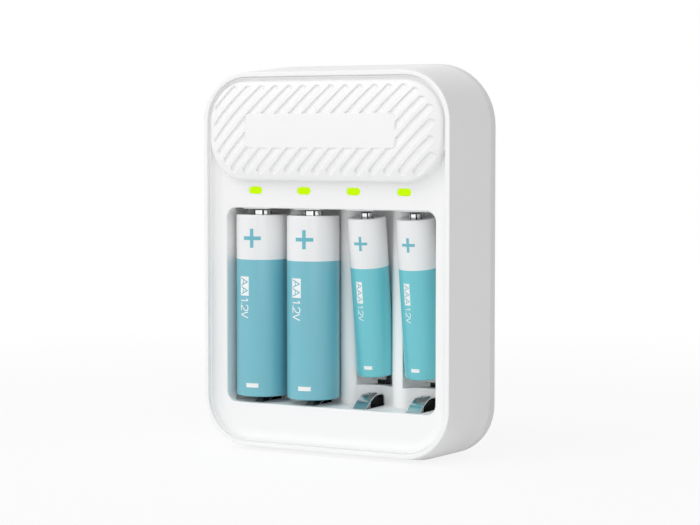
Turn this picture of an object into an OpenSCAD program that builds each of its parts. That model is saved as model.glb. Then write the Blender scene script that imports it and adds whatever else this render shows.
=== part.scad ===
// Battery charger for four round cells, upright, front towards -Y, +Z up.
// Depths run back from the front edge of the rim and heights run up from
// the rim's lower edge, until place() moves them to the part's own frame.

/* [Cells] */
// Diameter of a large cell
aa_d = 14.2; // [13.5:0.1:14.5]
// Length of a large cell without its nub
aa_body = 49.3; // [48.5:0.1:49.5]
// Diameter of a small cell
aaa_d = 10.3; // [9.8:0.1:10.5]
// Length of a small cell without its nub
aaa_body = 42.7; // [42:0.1:43.5]
// Height of a cell's nub
nub_h = 1.2; // [1:0.1:1.5]
// Diameter of a large cell's nub
aa_nub_d = 5.2; // [4.2:0.1:5.5]
// Diameter of a small cell's nub
aaa_nub_d = 3.2; // [2.8:0.1:3.8]
// Rounding of a cell's end edges
cell_edge = 0.5; // [0.3:0.1:0.8]

/* [Bays] */
// Distance between neighbouring bays
bay_pitch = 16; // [15.6:0.1:18]
// Room at each side of the outer cells
side_gap = 0.6; // [0.4:0.1:1.2]
// Room between a cell and its trough
trough_gap = 0.3; // [0.2:0.05:0.5]
// Depth of the large cells' axis behind the panel's face
aa_sink = 6; // [5.5:0.1:7]
// Depth of the small cells' lower end behind the panel's face
aaa_sink = 12.1; // [11.5:0.1:13]
// Lean of the small cells
aaa_lean = 7.4; // [6:0.1:8]
// Sideways place of the last small cell in its bay, towards the middle
aaa_shift = -1.5; // [-1.6:0.1:0]
// Height of the bays' lower edge above the rim's lower edge
bay_low = 11.6; // [10:0.1:14]
// Corner radius of the bays' opening
bay_r = 2.8; // [1.5:0.1:4]
// Height of a large cell's foot above the bays' lower edge
aa_foot = 1.7; // [1.5:0.1:2.2]
// Height of a small cell's foot above the bays' lower edge
aaa_foot = 8.5; // [8:0.1:9]
// Height of the small cells' shelf above the bays' lower edge
shelf_h = 5.2; // [4.5:0.1:5.8]
// Depth of the crests between the bays, behind the panel's face
crest_sink = 9.8; // [8:0.1:10.5]
// Wall of the tray
tray_wall = 1.2; // [1:0.1:2]
// Wall above the bays
tray_top = 1.6; // [1.2:0.1:2.5]

/* [Case] */
// Width of the front rim
rim_w = 74.4; // [72:0.2:90]
// Height of the front rim
rim_h = 100.9; // [98:0.1:115]
// Corner radius of the front rim
rim_r = 13.4; // [10:0.1:16]
// Width of the rim's band
rim_band = 1.25; // [1:0.05:1.8]
// Rounding of the rim's front edge
rim_edge = 0.6; // [0.3:0.1:0.8]
// How far sides and top stand out at the seam
flare = 1.85; // [1:0.05:2.5]
// Corner radius at the seam, upper corners
seam_r = 16.2; // [14:0.1:18]
// Corner radius at the seam, lower corners
seam_low_r = 13.4; // [10:0.1:16]
// Depth of the back cover behind its seam
back_lip = 4.7; // [4:0.1:7]
// Rounding of the back edge
back_edge = 2.5; // [1.5:0.1:3.5]
// How far the base lies under the rim's lower edge
base_drop = 1; // [0.5:0.1:1.5]
// Depth at which the base turns flat
base_start = 6.6; // [5:0.1:9]
// Wall of the case
wall = 1.8; // [1.4:0.1:2.4]
// Room between the tray and the back cover
rear_room = 1.5; // [1.2:0.1:4]

/* [Front panel] */
// Depth of the panel's face behind the rim
panel_recess = 2.4; // [1.8:0.1:3]
// Thickness of the panel
panel_t = 2; // [1.5:0.1:3]
// Width of the ledge that carries the panel
ledge_w = 1.3; // [1:0.1:2]
// Thickness of that ledge
ledge_t = 1.6; // [1:0.1:2.5]
// Gap of a fitted piece
fit_gap = 0.15; // [0.1:0.05:0.3]
// Distance between neighbouring lamp windows
lamp_pitch = 15.05; // [14:0.05:17]
// Height of the lamps above the bays
lamp_rise = 4.8; // [3.5:0.1:6]
// Width of a lamp window
lamp_w = 4; // [3:0.1:5]
// Height of a lamp window
lamp_h = 1.85; // [1.4:0.05:2.4]
// Depth of a lamp's face behind the panel's face
lamp_sink = 0.4; // [0.1:0.1:0.8]

/* [Ribbed cover] */
// Height of the cover's lower edge above the lamps
cover_rise = 2.6; // [2:0.1:4]
// How far the cover stands out of the rim
cover_proud = 2.9; // [2:0.1:3.5]
// Radius of the cover's lower corners
cover_r = 11.7; // [8:0.1:13]
// Rounding of the cover's edge
cover_edge = 1.5; // [1:0.1:2]
// Swell of the cover's face
cover_crown = 0.6; // [0.3:0.1:0.9]
// Distance between grooves, square to them
groove_pitch = 3.07; // [2.6:0.01:4]
// Width of a groove
groove_w = 2.2; // [1.6:0.1:2.5]
// Depth of a groove at its steep side
groove_depth = 0.5; // [0.3:0.05:0.7]
// Plain margin around the grooves
groove_margin = 2.6; // [2:0.1:4]
// Width of the blank plate
plate_w = 45.2; // [30:0.2:50]
// Height of the blank plate
plate_h = 9.4; // [6:0.2:12]
// Thickness of the cover's skin
cover_skin = 2.2; // [1.8:0.1:2.6]
// Radius of the cover's pegs
peg_r = 1.5; // [1.2:0.1:2]
// Sideways place of the cover's pegs
peg_x = 24; // [22:0.5:26]

/* [Contacts] */
// Thickness of the contact strip
strip_t = 0.35; // [0.3:0.05:0.45]
// Width of a contact
strip_w = 4; // [3:0.1:4.4]
// Width of a contact's upper plate
plus_w = 8; // [6:0.2:9]
// Gap between a cell and a contact
contact_gap = 0.3; // [0.2:0.05:0.4]
// Travel of a large cell's contact
aa_travel = 2.8; // [2.4:0.1:3.2]
// Travel of a small cell's contact
aaa_travel = 1.9; // [1.6:0.1:2.2]
// Radius of the pressed boss on a large cell's contact
boss_r = 1.4; // [1:0.1:1.7]
// Height of that boss
boss_h = 0.25; // [0.2:0.05:0.4]
// Height of a large cell's contact above the bays' lower edge
crest_rise = 3.2; // [2.8:0.1:3.6]
// Where that contact turns level, behind the cell's axis
crest_aft = 2.2; // [1.5:0.1:3]
// Height of that contact's bend
bend_rise = 1.7; // [1.2:0.1:2.2]
// Where that contact bends, in front of the cell's axis
bend_fore = 1.1; // [0.6:0.1:1.6]
// Cut corner of that contact, where it turns down
corner = 0.8; // [0.5:0.1:1]
// Where the boss lies, behind the cell's axis
boss_aft = 3.9; // [3.4:0.1:4.4]
// How far a small cell's contact reaches forward of its leg
small_reach = 3; // [2.6:0.1:3.4]
// Length of that contact's level part
small_flat = 2; // [1.6:0.1:2.4]
// Drop of that contact's tip
small_drop = 1.6; // [1.2:0.1:1.8]
// Cut corner of that contact
small_corner = 0.6; // [0.4:0.1:0.8]
// How far a small cell presses its contact
aaa_press = 1.3; // [1:0.1:1.6]
// Room around a contact in its slot
slot_gap = 0.3; // [0.2:0.05:0.5]
// Width of the riser that joins the lower contacts to the board
riser_w = 6; // [3:0.5:10]

/* [Electronics] */
// Thickness of the circuit board
board_t = 1.2; // [0.8:0.2:1.6]
// Depth of the board's face behind the panel
board_sink = 10.6; // [10:0.1:12]
// Room between the board's edge and the case's wall
board_side = 2.6; // [2:0.1:4]
// Half width of the board's upper part
board_top_x = 21; // [18:0.5:22]
// Room between the board and the tray, and around the board's parts
board_gap = 0.5; // [0.4:0.1:1]
// Room between the board and the top of the cover
board_crown = 3; // [2.5:0.1:4]
// Inset of the upper board screws from the board's upper edge
post_inset = 3.3; // [3:0.1:4]
// Sideways place of the upper board screws
board_post_x = 15; // [13:0.5:17]
// Height of the lower board screw above the board's lower edge
post_rise = 8.8; // [8:0.1:10]
// Side of the charge controller
chip_w = 8; // [6:0.5:9]
// Height of the charge controller
chip_t = 1.2; // [0.8:0.1:1.6]
// Side of the inductor
coil_w = 7; // [5:0.5:8]
// Height of the inductor
coil_t = 4; // [3:0.5:5]
// Sideways place of the inductor
coil_x = 12.5; // [11:0.5:14]
// Radius of a capacitor
can_r = 3.1; // [2.5:0.1:3.3]
// Height of a capacitor
can_t = 6.5; // [5:0.5:6.5]
// Sideways place of the inner capacitor
can_x = 8.5; // [8:0.5:10]
// Distance between the capacitors
can_pitch = 7.5; // [7:0.5:9]
// Width of a lamp on the board
led_w = 3; // [2:0.1:3.5]
// Height of a lamp on the board
led_h = 1.4; // [1:0.1:1.6]
// Thickness of a lamp on the board
led_t = 0.8; // [0.6:0.1:1]
// Width of the inlet's shell
inlet_w = 8.94; // [8.9:0.02:9.2]
// Thickness of the inlet's shell, across
inlet_h = 3.26; // [3.2:0.02:3.5]
// Length of the inlet
inlet_l = 7.3; // [6.5:0.1:9]
// Sheet of the inlet's shell
inlet_t = 0.3; // [0.2:0.05:0.35]
// Height of the inlet above the lamps
inlet_rise = 11; // [9:0.5:13]

/* [Fasteners] */
// Radius of a case screw's shank
screw_r = 1; // [0.8:0.1:1.3]
// Radius of a case screw's head
screw_head_r = 2.2; // [1.8:0.1:2.4]
// Height of a case screw's head
screw_head_h = 1.5; // [1:0.1:1.8]
// Depth of a case screw's head under the back
screw_sink = 0.8; // [0.4:0.1:1.2]
// Length of thread in its post
screw_bite = 7; // [5:0.5:9]
// Room between a case screw and the slot of the outer contact
screw_gap = 1.2; // [0.8:0.1:2]
// Width of the cross in a screw's head
cross_w = 2.4; // [1.8:0.1:3]
// Width of that cross's arms
cross_t = 0.5; // [0.4:0.05:0.8]
// Depth of that cross
cross_d = 0.7; // [0.4:0.1:0.9]
// Length of thread of a board screw
board_bite = 5; // [4:0.5:6]
// Height of a board screw's head
board_head_h = 1.2; // [0.8:0.1:1.6]
// Wall of a screw post
post_wall = 1.7; // [1.2:0.1:1.9]

/* [Hidden] */
$fn = 64;
eps = 0.01;

// Depths
panel_back = panel_recess + panel_t;
aa_axis = panel_recess + aa_sink;
aaa_axis = panel_recess + aaa_sink;
aa_trough_r = aa_d / 2 + trough_gap;
aaa_trough_r = aaa_d / 2 + trough_gap;
crest_d = panel_recess + crest_sink;
crest_deep = crest_d - aa_axis;
// a crest's radius runs smoothly into the two troughs beside it, which bite into it by crest_bite
crest_bite = 0.05;
crest_r = (pow(bay_pitch / 2, 2) + pow(crest_deep, 2) - pow(aa_trough_r, 2)) / (2 * (aa_trough_r - crest_deep))
  + crest_bite;
crest_foot = aa_axis + aa_trough_r * (crest_deep + crest_r) / (aa_trough_r + crest_r);
trough_back = aa_axis + aa_trough_r;
tray_back = aaa_axis + aaa_trough_r + tray_wall;
back_in = tray_back + rear_room;
total_d = back_in + wall;
seam_d = total_d - back_lip;
board_d = panel_recess + board_sink;
front_y = (cover_proud - total_d) / 2;

// Heights
aa_low = bay_low + aa_foot;
aaa_low = bay_low + aaa_foot;
shelf_z = bay_low + shelf_h;
plus_z = aa_low + aa_body + nub_h + contact_gap;
bay_top = plus_z + strip_t;
tray_high = bay_top + tray_top;
lamp_z = bay_top + lamp_rise;
cover_low = lamp_z + cover_rise;
cover_top = rim_h - rim_band - fit_gap;
plate_z = (cover_low + cover_top) / 2;
pocket_z = bay_low - aa_travel - 2 * slot_gap;
tray_low = pocket_z - tray_wall;
leg_low = aa_travel + slot_gap + wall - base_drop;

// Widths
bay_w = 3 * bay_pitch + aa_d + 2 * side_gap;
tray_w = bay_w + 2 * tray_wall;
open_w = rim_w - 2 * rim_band;
open_h = rim_h - 2 * rim_band;
open_r = rim_r - rim_band;
ledge_in = rim_band + ledge_w;
bay_x = [for (i = [0:3]) (i - 1.5) * bay_pitch];
small_shift = [0, 0, 0, aaa_shift];
lamp_x = [for (i = [0:3]) (i - 1.5) * lamp_pitch];

// Screws
screw_x = bay_x[3] + strip_w / 2 + slot_gap + screw_gap + screw_r;
post_r = screw_r + post_wall;
high_post_z = rim_h - rim_r + (rim_r - rim_band - post_r) * 0.35;
low_post_z = (tray_low + bay_low) / 2;
post_end = seam_d - wall / 2;
well_r = screw_head_r + fit_gap;
boss_out_r = well_r + wall / 2;
seat_d = total_d - screw_sink - screw_head_h;
board_x = rim_w / 2 + grow(board_d) - wall - board_side;
board_low = tray_high + board_gap;
board_high = cover_top - board_crown;
board_posts = [[-board_post_x, board_high - post_inset], [board_post_x, board_high - post_inset],
  [0, board_low + post_rise]];

// Contacts, as (depth, height) paths of the strip's middle line
aa_press = bay_low + crest_rise + strip_t / 2 + boss_h + contact_gap - aa_low;
aa_leg = trough_back - strip_t - 0.25;
aaa_leg = aaa_axis + aaa_trough_r - strip_t / 2 - slot_gap - 0.3;
aaa_top = aaa_low + (aaa_leg - small_flat - aaa_axis) * tan(aaa_lean) - contact_gap - strip_t / 2 + aaa_press;
aa_tip = panel_back + fit_gap + slot_gap + strip_t / 2;
aa_path = [[aa_tip, bay_low - 0.1], [aa_axis - bend_fore, bay_low + bend_rise],
  [aa_axis + crest_aft, bay_low + crest_rise], [aa_leg - corner, bay_low + crest_rise],
  [aa_leg, bay_low + crest_rise - corner], [aa_leg, leg_low]];
aaa_path = [[aaa_leg - small_reach, aaa_top - small_drop], [aaa_leg - small_flat, aaa_top],
  [aaa_leg - small_corner, aaa_top], [aaa_leg, aaa_top - small_corner], [aaa_leg, leg_low]];

module place() translate([0, front_y, base_drop]) children();

// An outline drawn in width and height, carried from depth d0 to depth d1
module along(d0, d1) translate([0, d1, 0]) rotate([90, 0, 0]) linear_extrude(d1 - d0) children();

// A round bar along the depth
module bar(x, d0, d1, z, r) translate([x, d1, z]) rotate([90, 0, 0]) cylinder(r = r, h = d1 - d0);

// A block from one corner to the other
module block(a, b) translate(a) cube(b - a);

module round_rect(x0, x1, z0, z1, r) {
  translate([x0 + r, z0]) square([x1 - x0 - 2 * r, z1 - z0]);
  translate([x0, z0 + r]) square([x1 - x0, z1 - z0 - 2 * r]);
  for (x = [x0 + r, x1 - r], z = [z0 + r, z1 - r]) translate([x, z]) circle(r);
}

// One thin slice of the case, e outside the rim's outline at sides and top
module slice(d, e, drop, r_top, r_low) along(d, d + eps) {
  for (s = [-1, 1]) {
    translate([s * (rim_w / 2 + e - r_top), rim_h + e - r_top]) circle(r_top, $fn = 32);
    translate([s * (rim_w / 2 + e - r_low), r_low - drop]) circle(r_low, $fn = 32);
  }
}

function grow(d) = flare * d / seam_d;
function r_high(d) = rim_r + (seam_r - rim_r) * d / seam_d;
function r_low(d) = rim_r + (seam_low_r - rim_r) * d / seam_d;
function drop(d) = base_drop * min(1, d / base_start);

// Slice at depth d, drawn in by i all around
module case_slice(d, i) slice(d, grow(d) - i, drop(d) - i, r_high(d) - i, r_low(d) - i);

// Solid outside of the case from the rim back to depth d1
module case_front(d1) hull() {
  case_slice(-rim_edge, rim_edge);
  case_slice(-rim_edge * 0.7, rim_edge * 0.3);
  case_slice(0, 0);
  case_slice(base_start, 0);
  case_slice(d1 - eps, 0);
}

module case_back() hull() {
  case_slice(seam_d, 0);
  case_slice(total_d - back_edge, 0);
  case_slice(total_d - back_edge * 0.5, back_edge * 0.14);
  case_slice(total_d - back_edge * 0.14, back_edge * 0.5);
  case_slice(total_d - eps, back_edge);
}

function unit(v) = v / norm(v);
function square_to(v) = [-v[1], v[0]];

// Way from a path's point to the strip's skin, shared by both neighbours
function skin_way(path, i) = let (
  a = square_to(unit(i > 0 ? path[i] - path[i - 1] : path[1] - path[0])),
  b = i < len(path) - 1 ? square_to(unit(path[i + 1] - path[i])) : a) (a + b) / (1 + a * b);

// A bent strip along a path of (depth, height) points
module strip(path, w, x) translate([x - w / 2, 0, 0]) rotate([90, 0, 90]) linear_extrude(w) polygon(concat(
  [for (i = [0:len(path) - 1]) path[i] + skin_way(path, i) * strip_t / 2],
  [for (i = [len(path) - 1:-1:0]) path[i] - skin_way(path, i) * strip_t / 2]));

// A cell that stands on its own axis at the origin
module cell(d, body, nub_d) rotate_extrude() polygon([[0, 0], [d / 2 - cell_edge, 0], [d / 2, cell_edge],
  [d / 2, body - cell_edge], [d / 2 - cell_edge, body], [nub_d / 2, body], [nub_d / 2, body + nub_h], [0, body + nub_h]]);

module aa_cell(i) color("#8fd0de") place() translate([bay_x[i], aa_axis, aa_low]) cell(aa_d, aa_body, aa_nub_d);

module aaa_cell(i, dx) color("#7cd0da") place() translate([bay_x[i] + dx, aaa_axis, aaa_low])
  rotate([aaa_lean, 0, 0]) cell(aaa_d, aaa_body, aaa_nub_d);

module main_shell() color("whitesmoke") place() difference() {
  case_front(seam_d);
  along(-1, panel_back) round_rect(-open_w / 2, open_w / 2, rim_band, rim_h - rim_band, open_r);
  along(panel_back - eps, panel_back + ledge_t + eps)
    round_rect(-rim_w / 2 + ledge_in, rim_w / 2 - ledge_in, ledge_in, rim_h - ledge_in, rim_r - ledge_in);
  hull() {
    case_slice(panel_back + ledge_t, wall);
    case_slice(max(base_start, panel_back + ledge_t + 1), wall);
    case_slice(seam_d, wall);
  }
  inlet_hole();
}

// Way through the left wall for the inlet
module inlet_hole() inlet_body(inlet_l + wall, fit_gap, -wall);

// Round-ended bar for the inlet, grown by g and moved along by s
module inlet_body(l, g, s) translate([-rim_w / 2 - grow(inlet_d) + s, inlet_d, lamp_z + inlet_rise]) rotate([90, 0, 90])
  linear_extrude(l) round_rect(-inlet_h / 2 - g, inlet_h / 2 + g, -inlet_w / 2 - g, inlet_w / 2 + g, inlet_h / 2 + g - eps);
inlet_d = board_d + board_t + inlet_h / 2;

module back_cover() color("gainsboro") place() difference() {
  union() {
    difference() {
      case_back();
      hull() {
        case_slice(seam_d - eps, wall);
        case_slice(back_in, wall);
      }
    }
    for (s = [-1, 1]) {
      bar(s * screw_x, post_end, back_in + eps, high_post_z, boss_out_r);
      bar(s * screw_x, tray_back, back_in + eps, low_post_z, boss_out_r);
    }
  }
  for (s = [-1, 1], z = [low_post_z, high_post_z]) {
    bar(s * screw_x, seat_d, total_d + 1, z, well_r);
    bar(s * screw_x, post_end - 1, total_d, z, screw_r + fit_gap);
  }
}

module front_panel() color("white") place() difference() {
  union() {
    along(panel_recess, panel_back) round_rect(-open_w / 2 + fit_gap, open_w / 2 - fit_gap,
      rim_band + fit_gap, rim_h - rim_band - fit_gap, open_r - fit_gap);
    for (s = [-1, 1]) bar(s * screw_x, panel_back - eps, post_end, high_post_z, post_r);
    for (p = board_posts) bar(p[0], panel_back - eps, board_d, p[1], post_r);
  }
  along(panel_recess - 1, panel_back + 1) round_rect(-bay_w / 2, bay_w / 2, bay_low, bay_top, bay_r);
  for (x = lamp_x) along(panel_recess - 1, panel_back + 1) lamp_outline(x, fit_gap / 2);
  for (s = [-1, 1]) {
    bar(s * screw_x, post_end - screw_bite - 1, post_end + 1, high_post_z, screw_r);
    bar(s * peg_x, panel_recess - 1, panel_back + 1, plate_z, peg_r + fit_gap);
  }
  for (p = board_posts) bar(p[0], panel_back + 1, board_d + 1, p[1], screw_r);
}

module lamp_outline(x, g) round_rect(x - lamp_w / 2 - g, x + lamp_w / 2 + g,
  lamp_z - lamp_h / 2 - g, lamp_z + lamp_h / 2 + g, 0.7 + g);

module light_pipe(i) color("#ccff10") place() along(panel_recess + lamp_sink, board_d - led_t - fit_gap) lamp_outline(lamp_x[i], 0);

// Slice of the cover drawn in by i
module cover_slice(d, i) along(d, d + eps) {
  x = open_w / 2 - fit_gap - i;
  r_up = open_r - fit_gap - i;
  r_dn = min(cover_r, (cover_top - cover_low) / 2) - i;
  for (s = [-1, 1]) {
    translate([s * (x - r_up), cover_top - i - r_up]) circle(r_up, $fn = 32);
    translate([s * (x - r_dn), cover_low + i + r_dn]) circle(r_dn, $fn = 32);
  }
}

cover_face = cover_crown - cover_proud;

module cover_solid() hull() {
  cover_slice(panel_recess - eps, 0);
  cover_slice(0, 0.1);
  cover_slice(cover_face + cover_edge, 0.3);
  cover_slice(cover_face + cover_edge * 0.5, 0.3 + cover_edge * 0.14);
  cover_slice(cover_face + cover_edge * 0.14, 0.3 + cover_edge * 0.5);
  cover_slice(cover_face, 0.3 + cover_edge);
  cover_slice(cover_face - cover_crown * 0.6, 0.3 + cover_edge + 3);
  cover_slice(-cover_proud, 0.3 + cover_edge + 8);
}

// Slanting grooves with a tilted floor, in rows square to the diagonal
groove_from = -floor((open_w + cover_top - cover_low) * 0.354 / groove_pitch);

function groove_span(k) = let (
  o = k * groove_pitch * sqrt(2),
  h = (cover_top - cover_low) / 2 - groove_margin,
  x = open_w / 2 - groove_margin - 1.5,
  m = (cover_r - groove_margin) * 0.6,
  lo = max(-h, -x - o, (-x - h - o) / 2 + m / 2),
  hi = min(h, x - o, (x + h - o) / 2 - m / 2)) [o, lo, hi];

module groove_run(o, lo, hi) {
  l = (hi - lo) * sqrt(2) - groove_w;
  if (l > 1) translate([o + (lo + hi) / 2, face_at(), plate_z + (lo + hi) / 2]) rotate([0, -45, 0])
    rotate([-groove_tilt, 0, 0]) rotate([90, 0, 0]) linear_extrude(4) {
      square([l, groove_w], center = true);
      for (s = [-1, 1]) translate([s * l / 2, 0]) circle(groove_w / 2);
    }
}
groove_tilt = asin(groove_depth / groove_w);
function face_at() = -cover_proud + cover_crown * 0.3 + groove_depth / 2;

module ribbed_cover() color("white") place() difference() {
  union() {
    difference() {
      cover_solid();
      for (k = [groove_from:-groove_from]) {
        g = groove_span(k);
        groove_run(g[0], g[1], g[2]);
      }
    }
    intersection() {
      cover_solid();
      along(-cover_proud - 1, 0) round_rect(-plate_w / 2, plate_w / 2, plate_z - plate_h / 2, plate_z + plate_h / 2, 1.2);
    }
    for (s = [-1, 1]) bar(s * peg_x, cover_skin - cover_proud, panel_back + 1, plate_z, peg_r);
  }
  difference() {
    along(cover_skin - cover_proud + cover_crown, panel_recess + eps) round_rect(-open_w / 2 + cover_skin + 1.5, open_w / 2 - cover_skin - 1.5,
      cover_low + cover_skin, cover_top - cover_skin, cover_r - cover_skin);
    for (s = [-1, 1]) bar(s * peg_x, -cover_proud, panel_back + 1, plate_z, peg_r + 1);
  }
}

module battery_tray() color("white") place() difference() {
  along(panel_back, tray_back) round_rect(-tray_w / 2, tray_w / 2, tray_low, tray_high, bay_r);
  // common mouth, which leaves a round crest on each side of a bay
  difference() {
    along(panel_back - 1, crest_foot) round_rect(-bay_w / 2, bay_w / 2, bay_low, bay_top, bay_r);
    for (i = [-2:2]) translate([i * bay_pitch, crest_d + crest_r, 0]) cylinder(r = crest_r, h = tray_high);
  }
  for (i = [0:3]) {
    x = bay_x[i];
    translate([x, aa_axis, bay_low]) cylinder(r = aa_trough_r, h = bay_top - bay_low);
    // deeper channel for a small cell, above its shelf
    intersection() {
      translate([x, aaa_axis, aaa_low]) rotate([aaa_lean, 0, 0]) small_channel(small_shift[i]);
      block([x - bay_pitch, 0, shelf_z], [x + bay_pitch, tray_back, bay_top]);
    }
    // pocket and slots for the contacts
    block([x - strip_w / 2 - slot_gap, panel_back + fit_gap, pocket_z], [x + strip_w / 2 + slot_gap, aa_leg + strip_t / 2 + slot_gap, bay_low + eps]);
    slot(x, aa_leg, bay_low + eps);
    slot(x, aaa_leg, shelf_z + eps);
    // seat of the upper contact plate, with the way out for its tail
    block([x - plus_w / 2 - fit_gap, plus_front - fit_gap, plus_z], [x + plus_w / 2 + fit_gap, plus_tail + strip_t + fit_gap, bay_top + strip_t]);
    block([x - strip_w / 2 - fit_gap, plus_tail - fit_gap, plus_z], [x + strip_w / 2 + fit_gap, plus_tail + strip_t + fit_gap, tray_high + 1]);
  }
  for (s = [-1, 1]) bar(s * screw_x, tray_back - screw_bite - 1, tray_back + 1, low_post_z, screw_r);
}
plus_front = panel_back + 0.8;
plus_tail = board_d - strip_t;

// Round-backed channel for a small cell, widened to one side for a cell that stands beside the middle
module small_channel(shift) translate([0, 0, -aaa_foot]) {
  tall = aaa_body + 2 * aaa_foot;
  cylinder(r = aaa_trough_r, h = tall);
  if (shift != 0) translate([shift, 0, 0]) {
    cylinder(r = aaa_trough_r, h = tall);
    cube([-shift, aaa_trough_r, tall]);
  }
  translate([shift - aaa_trough_r, -aaa_sink, 0]) cube([2 * aaa_trough_r - shift, aaa_sink, tall]);
}

module slot(x, d, z) block([x - strip_w / 2 - slot_gap, d - strip_t / 2 - slot_gap, tray_low - 1], [x + strip_w / 2 + slot_gap, d + strip_t / 2 + slot_gap, z]);

module positive_contact(i) color("silver") place() translate([bay_x[i], 0, 0]) {
  block([-plus_w / 2, plus_front, plus_z], [plus_w / 2, plus_tail + strip_t, bay_top]);
  block([-strip_w / 2, plus_tail, plus_z], [strip_w / 2, plus_tail + strip_t, tray_high + 1.6]);
}

module aa_contact(i, down) color("silver") place() translate([0, 0, -down]) {
  strip(aa_path, strip_w, bay_x[i]);
  translate([bay_x[i], aa_axis + boss_aft, bay_low + crest_rise]) cylinder(r = boss_r, h = strip_t / 2 + boss_h);
}

module aaa_contact(i, down) color("silver") place() translate([0, 0, -down]) strip(aaa_path, strip_w, bay_x[i]);

// Strip that joins the lower contacts, with a riser to the board
bus_low = wall - base_drop + 1.8;
bus_end = bay_x[3] + strip_w / 2;
bus_back = tray_back + fit_gap;
bus_high = tray_high + 1.2;

module negative_bus() color("goldenrod") place() {
  for (d = [aa_leg, aaa_leg]) block([-bus_end, d + strip_t / 2 + slot_gap, bus_low],
    [bus_end, d + strip_t * 1.5 + slot_gap, tray_low]);
  block([-riser_w / 2, aa_leg + strip_t / 2 + slot_gap, tray_low - strip_t], [riser_w / 2, bus_back + strip_t, tray_low]);
  block([-riser_w / 2, bus_back, tray_low - strip_t], [riser_w / 2, bus_back + strip_t, bus_high]);
  block([-riser_w / 2, board_d + board_t, bus_high - strip_t], [riser_w / 2, bus_back + strip_t, bus_high]);
}

module circuit_board() color("seagreen") place() difference() {
  along(board_d, board_d + board_t) {
    round_rect(-board_x, board_x, board_low, high_post_z - boss_out_r - board_gap, 1);
    round_rect(-board_top_x, board_top_x, board_low, board_high, 1);
  }
  for (p = board_posts) bar(p[0], board_d - 1, board_d + board_t + 1, p[1], screw_r + fit_gap);
}

// Parts on the board's two sides
board_back = board_d + board_t;
chip_low = board_low + post_rise + screw_head_r + board_gap;
coil_low = board_low + 2 * board_gap;

module charge_controller() color("dimgray") place()
  block([-chip_w / 2, board_back, chip_low], [chip_w / 2, board_back + chip_t, chip_low + chip_w]);

module inductor() color("gray") place()
  block([coil_x - coil_w / 2, board_back, coil_low], [coil_x + coil_w / 2, board_back + coil_t, coil_low + coil_w]);

module capacitors() color("slategray") place() for (i = [0, 1])
  bar(-can_x - i * can_pitch, board_back, board_back + can_t, coil_low + can_r, can_r);

module status_leds() color("khaki") place() for (x = lamp_x)
  block([x - led_w / 2, board_d - led_t, lamp_z - led_h / 2], [x + led_w / 2, board_d, lamp_z + led_h / 2]);

module inlet_shell() color("silver") place() difference() {
  inlet_body(inlet_l, 0, 0.2);
  inlet_body(inlet_l - inlet_t, -inlet_t, 0);
}

module inlet_tongue() color("black") place() translate([-rim_w / 2 - grow(inlet_d), inlet_d, lamp_z + inlet_rise])
  block([1, -0.35, -inlet_w / 2 + 1.2], [inlet_l - inlet_t, 0.35, inlet_w / 2 - 1.2]);

module case_screws() color("darkgray") place() for (s = [-1, 1], z = [low_post_z, high_post_z]) {
  bite = z == low_post_z ? tray_back : post_end;
  difference() {
    bar(s * screw_x, seat_d, seat_d + screw_head_h, z, screw_head_r);
    translate([s * screw_x, seat_d + screw_head_h, z]) cube([cross_w, 2 * cross_d, cross_t], center = true);
    translate([s * screw_x, seat_d + screw_head_h, z]) cube([cross_t, 2 * cross_d, cross_w], center = true);
  }
  bar(s * screw_x, bite - screw_bite, seat_d + eps, z, screw_r - 0.02);
}

module board_screws() color("darkgray") place() for (p = board_posts) {
  bar(p[0], board_back, board_back + board_head_h, p[1], screw_head_r);
  bar(p[0], board_d - board_bite, board_back + eps, p[1], screw_r - 0.02);
}

main_shell();
back_cover();
front_panel();
ribbed_cover();
battery_tray();
light_pipe(0);  // light_pipe_1
light_pipe(1);  // light_pipe_2
light_pipe(2);  // light_pipe_3
light_pipe(3);  // light_pipe_4
circuit_board();
charge_controller();
inductor();
capacitors();
status_leds();
inlet_shell();
inlet_tongue();
positive_contact(0);  // positive_contact_1
positive_contact(1);  // positive_contact_2
positive_contact(2);  // positive_contact_3
positive_contact(3);  // positive_contact_4
aa_contact(0, aa_press);  // aa_contact_1
aa_contact(1, aa_press);  // aa_contact_2
aa_contact(2, 0);  // aa_contact_3
aa_contact(3, 0);  // aa_contact_4
aaa_contact(0, 0);  // aaa_contact_1
aaa_contact(1, 0);  // aaa_contact_2
aaa_contact(2, aaa_press);  // aaa_contact_3
aaa_contact(3, aaa_press);  // aaa_contact_4
negative_bus();
case_screws();
board_screws();
aa_cell(0);  // aa_cell_1
aa_cell(1);  // aa_cell_2
aaa_cell(2, 0);  // aaa_cell_1
aaa_cell(3, aaa_shift);  // aaa_cell_2
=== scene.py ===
import math

import bmesh
import bpy
import numpy as np
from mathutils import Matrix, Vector
from mathutils.geometry import delaunay_2d_cdt


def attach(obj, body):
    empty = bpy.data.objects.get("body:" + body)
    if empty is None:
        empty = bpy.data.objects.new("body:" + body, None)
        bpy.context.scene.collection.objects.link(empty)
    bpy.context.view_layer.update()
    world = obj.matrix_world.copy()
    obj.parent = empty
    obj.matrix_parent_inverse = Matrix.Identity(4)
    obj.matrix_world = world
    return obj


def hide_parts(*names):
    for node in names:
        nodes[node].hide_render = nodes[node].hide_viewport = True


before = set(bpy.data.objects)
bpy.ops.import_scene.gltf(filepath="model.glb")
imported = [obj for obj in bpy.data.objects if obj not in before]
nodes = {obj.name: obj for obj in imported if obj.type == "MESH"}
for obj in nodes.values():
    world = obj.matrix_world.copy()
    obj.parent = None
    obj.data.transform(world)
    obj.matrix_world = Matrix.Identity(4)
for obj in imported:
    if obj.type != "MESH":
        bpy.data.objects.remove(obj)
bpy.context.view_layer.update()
scene = bpy.context.scene
print("frame loaded,", len(nodes), "nodes")

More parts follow.
